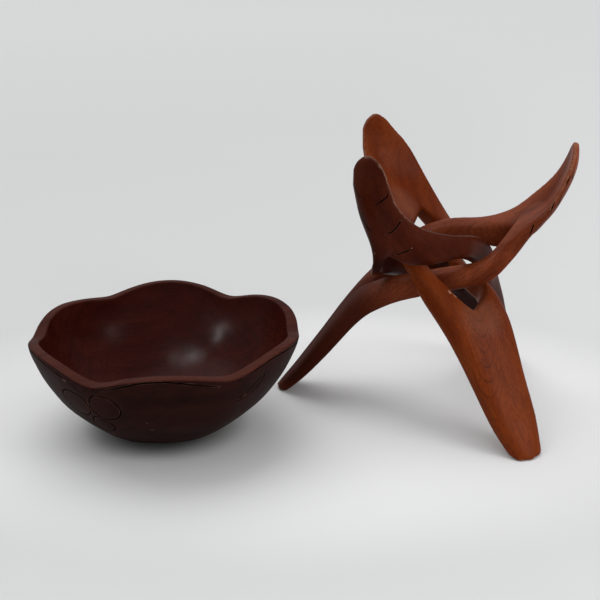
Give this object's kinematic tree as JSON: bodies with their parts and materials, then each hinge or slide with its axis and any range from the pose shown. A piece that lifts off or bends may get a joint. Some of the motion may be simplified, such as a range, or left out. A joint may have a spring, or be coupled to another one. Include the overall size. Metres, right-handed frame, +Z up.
{
  "type": "wooden fruit bowl",
  "caption": "Turned wooden fruit bowl with a wavy rim, beside its folding stand of interlocked carved petals and legs.",
  "frame": {"origin": "on the table, under the middle of the box round the bowl and the open stand", "axes": "+Z up; +X from the bowl to the stand, along the longest extent; +Y away from the viewer of the picture"},
  "size_m": [0.5923, 0.3747, 0.313],
  "materials": {
    "bowl_wood": "very dark reddish brown hardwood, oiled to a satin sheen",
    "stand_wood": "mid reddish brown hardwood with fine dark grain, waxed to a satin sheen"
  },
  "bodies": {
    "bowl": {"bowl": "bowl_wood"},
    "stand_front_leg": {"stand_front_leg": "stand_wood"},
    "stand_left_leg": {"stand_left_leg": "stand_wood"},
    "stand_back_leg": {"stand_back_leg": "stand_wood"}
  },
  "joints": [
    {"name": "stand_lift", "type": "slide", "parent": "bowl", "child": "stand_front_leg", "axis": [0, 0, 1], "range_m": [0, 0.2]},
    {"name": "left_leg_fold", "type": "hinge", "parent": "stand_front_leg", "child": "stand_left_leg", "pos_m": [0.1506, 0.0343, 0.162], "axis": [-0.5867, -0.8076, 0.0594], "range_deg": [0, 16]},
    {"name": "back_leg_fold", "type": "hinge", "parent": "stand_front_leg", "child": "stand_back_leg", "pos_m": [0.1506, 0.0343, 0.162], "axis": [-0.993, 0.1, -0.0627], "range_deg": [0, 16]}
  ],
  "couplings": [
    {"joint": "back_leg_fold", "follows": "left_leg_fold", "ratio": 1}
  ]
}
